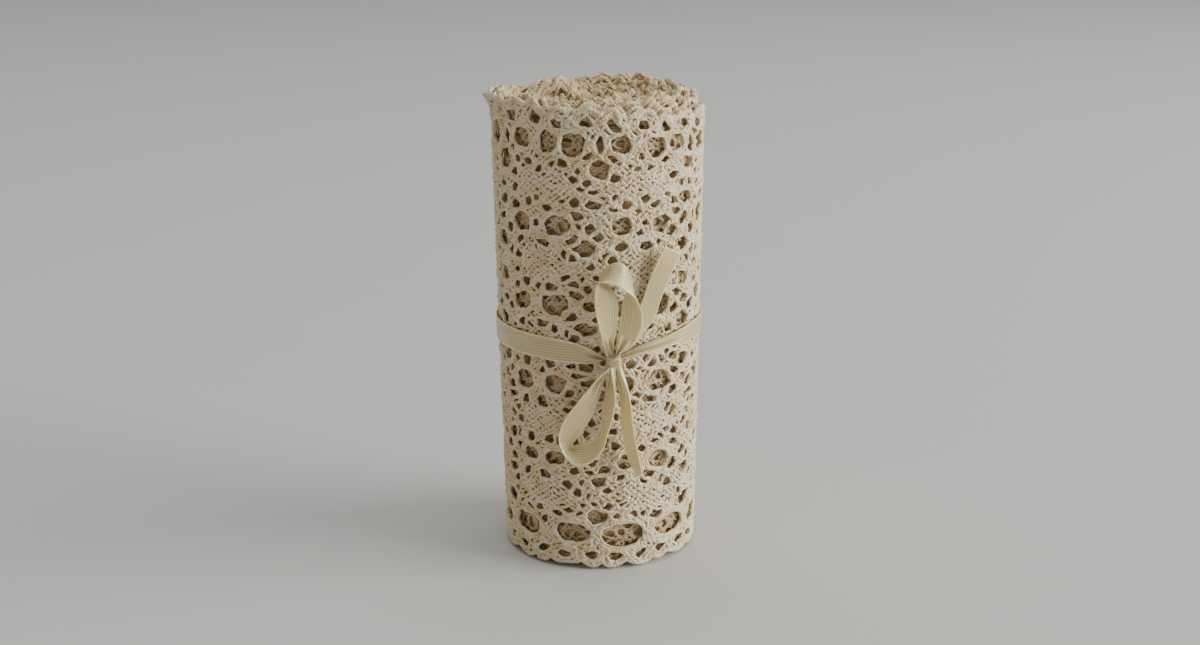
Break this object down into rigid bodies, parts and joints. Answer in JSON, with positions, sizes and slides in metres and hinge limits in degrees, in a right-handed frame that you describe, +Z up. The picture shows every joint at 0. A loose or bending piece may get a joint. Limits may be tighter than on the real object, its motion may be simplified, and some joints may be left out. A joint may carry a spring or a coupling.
{
  "type": "roll of cotton lace trimming tied with a satin ribbon bow",
  "caption": "Upright roll of wide openwork cotton lace, wound on itself with no core and tied round the middle with a narrow satin ribbon bow.",
  "frame": {"origin": "middle of the flat foot that the roll stands on", "axes": "+Z up along the roll, the bow faces -Y, +X to the right seen from the bow's side"},
  "size_m": [0.0586, 0.067, 0.1285],
  "materials": {
    "cotton_lace": "matt cotton yarn, cream grey",
    "satin_ribbon": "satin weave, cream, with firm selvedges"
  },
  "bodies": {
    "root": {"lace_roll": "cotton_lace", "ribbon_band": "satin_ribbon", "ribbon_knot": "satin_ribbon", "bow_loop_upper": "satin_ribbon", "bow_tail_upper": "satin_ribbon", "bow_loop_lower": "satin_ribbon", "bow_tail_lower": "satin_ribbon"}
  },
  "joints": []
}
